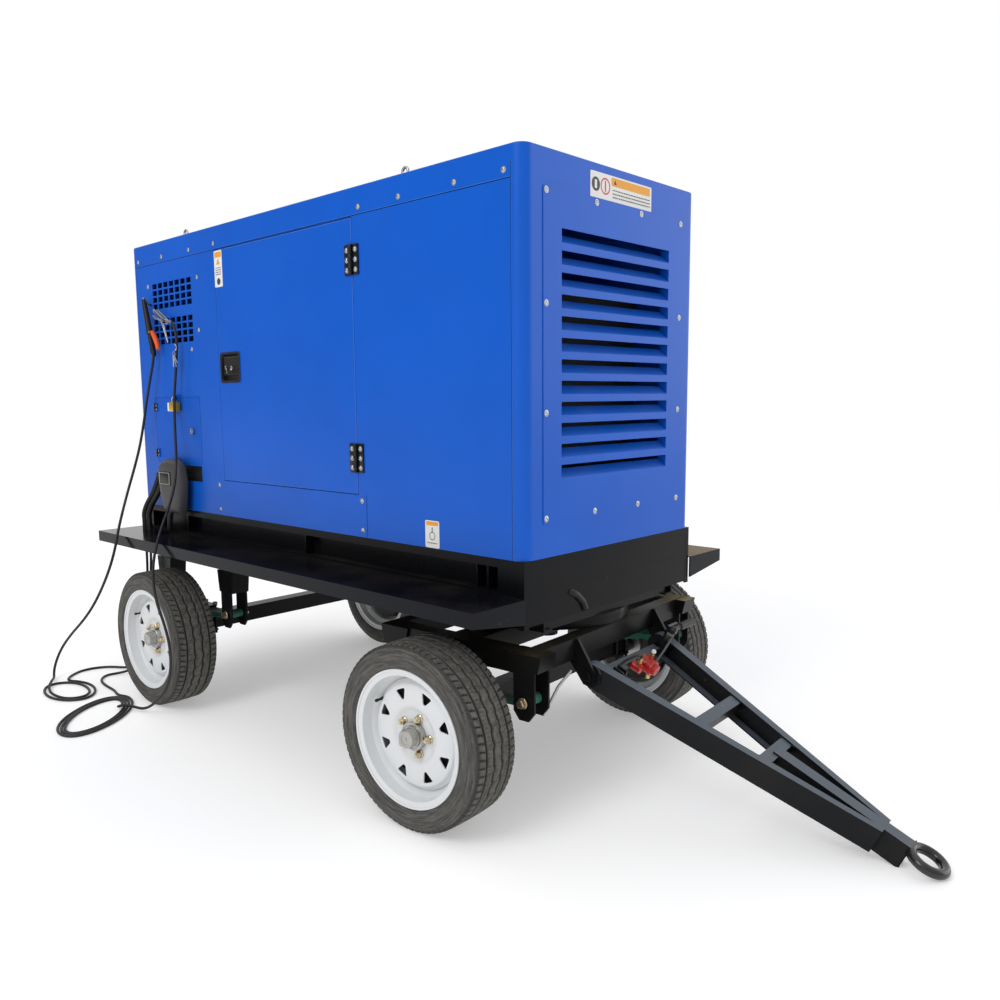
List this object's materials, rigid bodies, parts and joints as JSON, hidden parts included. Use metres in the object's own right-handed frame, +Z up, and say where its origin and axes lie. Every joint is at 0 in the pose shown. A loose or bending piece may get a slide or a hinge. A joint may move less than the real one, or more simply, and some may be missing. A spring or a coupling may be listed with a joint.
{
  "type": "towable diesel generator",
  "caption": "Canopied diesel generator and welder on a sprung drawbar trailer with steered front axle, opening doors and weld leads.",
  "frame": {"origin": "on the ground, at the middle of the trailer's length and width without its loose leads", "axes": "+X towards the drawbar, -Y the side with the hatch and weld leads, +Z up"},
  "size_m": [3.7717, 1.9834, 2.1227],
  "materials": {
    "canopy_blue": "satin enamel",
    "chassis_black": "gloss black enamel, dusty",
    "deck_black": "gloss black enamel, dusty",
    "frame_blue": "worn sky grey enamel",
    "wheel_white": "satin white enamel",
    "tyre_rubber": "matte rubber",
    "spring_green": "worn green enamel",
    "zinc_plated": "zinc plated",
    "bare_steel": "ground",
    "cast_grey": "painted casting",
    "alloy": "cast",
    "black_plastic": "moulded",
    "board_grey": "laminate",
    "lever_orange": "moulded",
    "cylinder_red": "gloss enamel",
    "cable_rubber": "matte rubber",
    "conduit_black": "corrugated sleeve",
    "shield_black": "moulded",
    "grip_rubber": "ribbed"
  },
  "bodies": {
    "trailer": {"chassis_frame": "chassis_black", "deck": "deck_black", "skid_base": "chassis_black", "fuel_tank": "chassis_black", "side_panel_right": "canopy_blue", "side_panel_left": "canopy_blue", "front_shell": "canopy_blue", "rear_shell": "canopy_blue", "roof_cover": "canopy_blue", "louvre_panel": "canopy_blue", "panel_bolts": "canopy_blue", "lifting_eyes": "canopy_blue", "inlet_grids": "canopy_blue", "hinge_brackets": "canopy_blue", "terminal_board": "board_grey", "conduits": "conduit_black", "engine_block": "cast_grey", "cylinder_head": "cast_grey", "radiator": "alloy", "air_filter": "black_plastic", "muffler": "alloy", "alternator": "alloy", "battery": "black_plastic", "control_panel": "board_grey", "turntable_ring": "chassis_black", "rear_springs": "spring_green", "hand_shield": "shield_black", "access_door": "canopy_blue", "electrode_holder": "black_plastic", "earth_clamp": "bare_steel", "lead_electrode_feed": "cable_rubber", "lead_electrode_coil": "cable_rubber", "lead_electrode_drop": "cable_rubber", "lead_earth_feed": "cable_rubber", "lead_earth_coil": "cable_rubber", "lead_earth_drop": "cable_rubber"},
    "door_right": {"door_right": "canopy_blue"},
    "door_left": {"door_left": "canopy_blue"},
    "paddle_right": {"latch_paddle_right": "black_plastic"},
    "paddle_left": {"latch_paddle_left": "black_plastic"},
    "knob": {"access_knob": "zinc_plated"},
    "fan": {"cooling_fan": "black_plastic"},
    "bogie": {"bogie_frame": "chassis_black", "front_springs": "spring_green"},
    "drawbar": {"drawbar": "frame_blue", "tow_eye": "chassis_black", "brake_cylinder": "cylinder_red"},
    "brake_lever": {"brake_lever": "grip_rubber"},
    "front_axle": {"front_axle": "chassis_black"},
    "rear_axle": {"rear_axle": "chassis_black"},
    "wheel_front_right": {"tyre_front_right": "tyre_rubber", "wheel_front_right": "wheel_white"},
    "wheel_front_left": {"tyre_front_left": "tyre_rubber", "wheel_front_left": "wheel_white"},
    "wheel_rear_right": {"tyre_rear_right": "tyre_rubber", "wheel_rear_right": "wheel_white"},
    "wheel_rear_left": {"tyre_rear_left": "tyre_rubber", "wheel_rear_left": "wheel_white"},
    "squeeze_lever": {"holder_lever": "lever_orange"},
    "clamp_jaw": {"clamp_jaw": "bare_steel"}
  },
  "joints": [
    {"name": "front_steer", "type": "hinge", "parent": "trailer", "child": "bogie", "pos_m": [0.408, 0, 0.53], "axis": [0, 0, 1], "range_deg": [-28.75, 21.25]},
    {"name": "drawbar_pitch", "type": "hinge", "parent": "bogie", "child": "drawbar", "pos_m": [0.75725, 0.02289, 0.44582], "axis": [-0.0654, 0.9979, 0], "range_deg": [-45, 0]},
    {"name": "brake_lever_pull", "type": "hinge", "parent": "drawbar", "child": "brake_lever", "pos_m": [0.81378, 0.215, 0.51556], "axis": [0.9087, 0.0596, -0.4131], "range_deg": [0, 35]},
    {"name": "front_suspension", "type": "slide", "parent": "bogie", "child": "front_axle", "axis": [0, 0, 1], "range_m": [-0.02, 0.02], "stiffness_N_per_m": 400000, "springref_m": -0.03406, "deforming": ["front_springs"]},
    {"name": "rear_suspension", "type": "slide", "parent": "trailer", "child": "rear_axle", "axis": [0, 0, 1], "range_m": [-0.02, 0.02], "stiffness_N_per_m": 400000, "springref_m": -0.02403, "deforming": ["rear_springs"]},
    {"name": "door_right_swing", "type": "hinge", "parent": "trailer", "child": "door_right", "pos_m": [-0.0745, -0.494, 1.492], "axis": [0, 0, 1], "range_deg": [0, 110]},
    {"name": "door_left_swing", "type": "hinge", "parent": "trailer", "child": "door_left", "pos_m": [-0.0745, 0.494, 1.492], "axis": [0, 0, 1], "range_deg": [-110, 0]},
    {"name": "paddle_right_pull", "type": "hinge", "parent": "door_right", "child": "paddle_right", "pos_m": [-0.909, -0.477, 1.533], "axis": [1, 0, 0], "range_deg": [-35, 0], "stiffness_Nm_per_rad": 1},
    {"name": "paddle_left_pull", "type": "hinge", "parent": "door_left", "child": "paddle_left", "pos_m": [-0.909, 0.477, 1.533], "axis": [1, 0, 0], "range_deg": [0, 35], "stiffness_Nm_per_rad": 1},
    {"name": "knob_turn", "type": "hinge", "parent": "trailer", "child": "knob", "pos_m": [-1.244, -0.49, 1.214], "axis": [0, 1, 0], "range_deg": [0, 90]},
    {"name": "fan_spin", "type": "hinge", "parent": "trailer", "child": "fan", "pos_m": [0.4, 0, 1.13], "axis": [1, 0, 0], "continuous": true},
    {"name": "holder_squeeze", "type": "hinge", "parent": "trailer", "child": "squeeze_lever", "pos_m": [-1.535, -0.515, 1.671], "axis": [0, 1, 0], "range_deg": [0, 15], "stiffness_Nm_per_rad": 2},
    {"name": "clamp_open", "type": "hinge", "parent": "trailer", "child": "clamp_jaw", "pos_m": [-1.4, -0.5313, 1.712], "axis": [0, 1, 0], "range_deg": [-35, 0], "stiffness_Nm_per_rad": 3},
    {"name": "front_right_spin", "type": "hinge", "parent": "front_axle", "child": "wheel_front_right", "pos_m": [0.45156, -0.66457, 0.3], "axis": [-0.0654, 0.9979, 0], "continuous": true},
    {"name": "front_left_spin", "type": "hinge", "parent": "front_axle", "child": "wheel_front_left", "pos_m": [0.36444, 0.66457, 0.3], "axis": [-0.0654, 0.9979, 0], "continuous": true},
    {"name": "rear_right_spin", "type": "hinge", "parent": "rear_axle", "child": "wheel_rear_right", "pos_m": [-1.262, -0.666, 0.3], "axis": [0, 1, 0], "continuous": true},
    {"name": "rear_left_spin", "type": "hinge", "parent": "rear_axle", "child": "wheel_rear_left", "pos_m": [-1.262, 0.666, 0.3], "axis": [0, 1, 0], "continuous": true}
  ]
}
